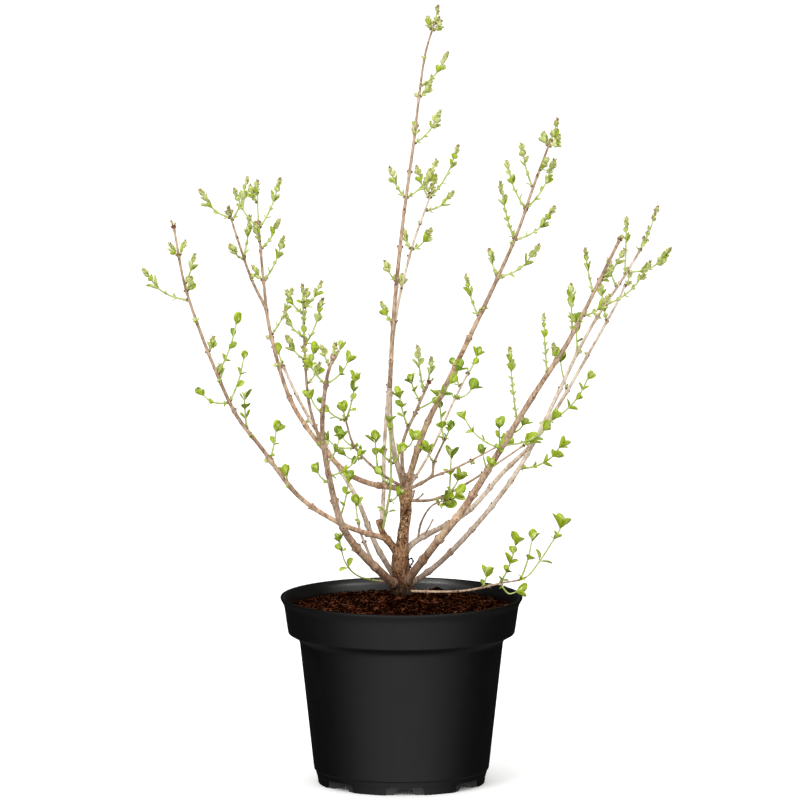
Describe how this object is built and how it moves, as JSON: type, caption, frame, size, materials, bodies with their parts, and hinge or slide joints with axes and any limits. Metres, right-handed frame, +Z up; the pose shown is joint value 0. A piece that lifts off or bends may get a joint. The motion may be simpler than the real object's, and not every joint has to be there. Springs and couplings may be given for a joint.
{
  "type": "potted lilac bush",
  "caption": "Young deciduous shrub in a round black nursery pot, with slender bare branches fanning from a short trunk and small new leaves opening along their upper parts.",
  "frame": {"origin": "centre of the pot's flat underside, on the ground", "axes": "+Z up along the pot's axis, -Y the front, +X to the right seen from the front"},
  "size_m": [0.507, 0.2951, 0.7432],
  "materials": {
    "black_plastic": "satin black, moulded",
    "potting_soil": "loose moist bark and peat",
    "bark": "smooth tan young bark, rougher and browner on the trunk",
    "foliage": "matt fresh green leaves on green shoots"
  },
  "bodies": {
    "root": {"pot": "black_plastic", "potting_soil": "potting_soil", "trunk": "bark", "back_left_bough": "bark", "behind_leader_bough": "bark", "leader_bough": "bark", "left_front_bough": "bark", "left_low_bough": "bark", "right_front_bough": "bark", "right_lower_bough": "bark", "right_outer_bough": "bark", "right_top_bough": "bark", "side_stub": "bark", "upper_left_bough": "bark", "back_left_foliage": "foliage", "behind_leader_foliage": "foliage", "centre_foliage": "foliage", "fork_back_foliage": "foliage", "fork_left_foliage": "foliage", "fork_low_foliage": "foliage", "fork_right_foliage": "foliage", "green_shoot_foliage": "foliage", "leader_foliage": "foliage", "left_fork_foliage": "foliage", "left_front_foliage": "foliage", "left_inner_foliage": "foliage", "left_low_foliage": "foliage", "low_left_foliage": "foliage", "low_twig_foliage": "foliage", "lower_twig_foliage": "foliage", "right_front_foliage": "foliage", "right_lower_foliage": "foliage", "right_outer_foliage": "foliage", "right_top_foliage": "foliage", "runner_foliage": "foliage", "small_back_foliage": "foliage", "upper_left_foliage": "foliage"}
  },
  "joints": []
}
